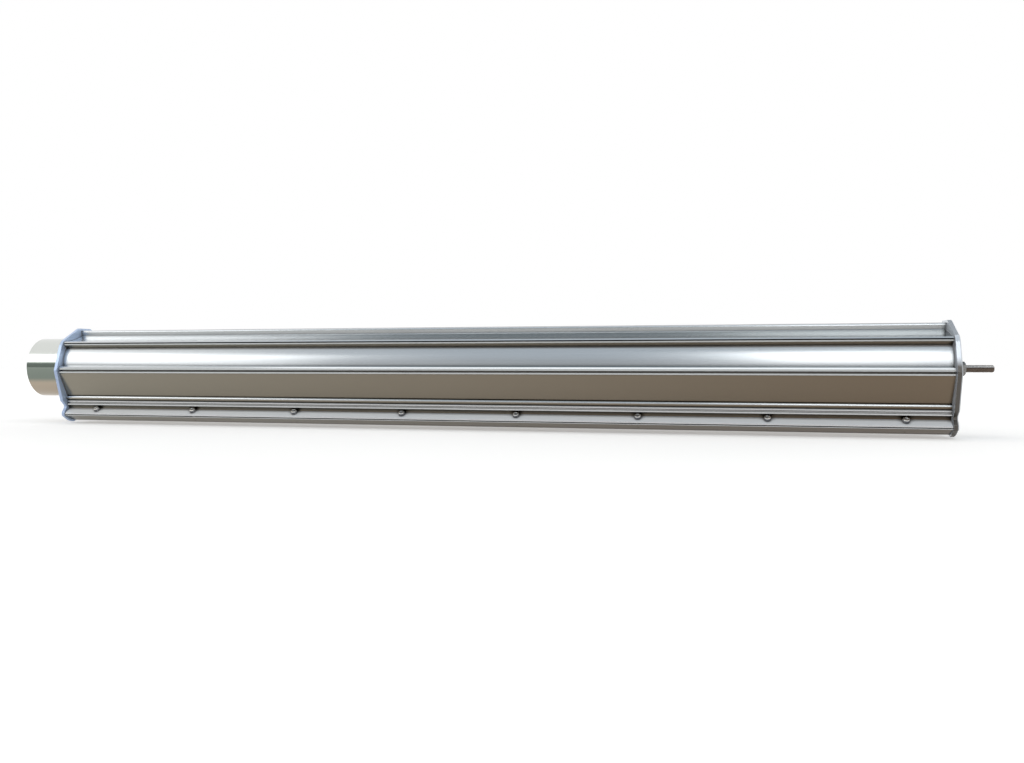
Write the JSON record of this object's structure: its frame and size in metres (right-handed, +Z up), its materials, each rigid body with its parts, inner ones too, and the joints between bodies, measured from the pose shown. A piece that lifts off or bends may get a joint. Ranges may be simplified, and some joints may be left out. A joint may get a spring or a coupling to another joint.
{
  "type": "compressed air knife",
  "caption": "Long extruded air knife with a round plenum, ridged body, screwed lip bar over a thin air slot, end plates, a hose spigot at one end and a threaded stud at the other.",
  "frame": {"origin": "centre of the inlet spigot's mouth, on the axis of the round plenum", "axes": "+X along the knife from the inlet to the stud; the front, with the lip screws and the slot's outlet, faces -Y; +Z up, from the slot to the rail"},
  "size_m": [1.149, 0.1148, 0.1214],
  "materials": {
    "body": "satin anodised extrusion",
    "lip_bar": "satin anodised extrusion",
    "end_plates": "brushed, pale blue-grey anodised",
    "gaskets": "matt sheet",
    "spigot": "polished stainless tube",
    "weld": "rippled weld bead",
    "stud": "plain stainless thread",
    "screws": "bright stainless",
    "spacers": "turned stainless"
  },
  "bodies": {
    "root": {"main_body": "body", "lip_bar": "lip_bar", "inlet_plate": "end_plates", "far_plate": "end_plates", "inlet_gasket": "gaskets", "far_gasket": "gaskets", "inlet_spigot": "spigot", "spigot_weld": "weld", "end_stud": "stud", "stud_inner_nut": "stud", "stud_lock_nut": "stud", "stud_washer": "stud", "lip_screw_1": "screws", "lip_screw_2": "screws", "lip_screw_3": "screws", "lip_screw_4": "screws", "lip_screw_5": "screws", "lip_screw_6": "screws", "lip_screw_7": "screws", "lip_screw_8": "screws", "inlet_plate_screw_1": "screws", "inlet_plate_screw_2": "screws", "inlet_plate_screw_3": "screws", "inlet_plate_screw_4": "screws", "inlet_plate_screw_5": "screws", "far_plate_screw_1": "screws", "far_plate_screw_2": "screws", "far_plate_screw_3": "screws", "far_plate_screw_4": "screws", "far_plate_screw_5": "screws", "slot_spacer_1": "spacers", "slot_spacer_2": "spacers", "slot_spacer_3": "spacers", "slot_spacer_4": "spacers", "slot_spacer_5": "spacers", "slot_spacer_6": "spacers", "slot_spacer_7": "spacers", "slot_spacer_8": "spacers"}
  },
  "joints": []
}
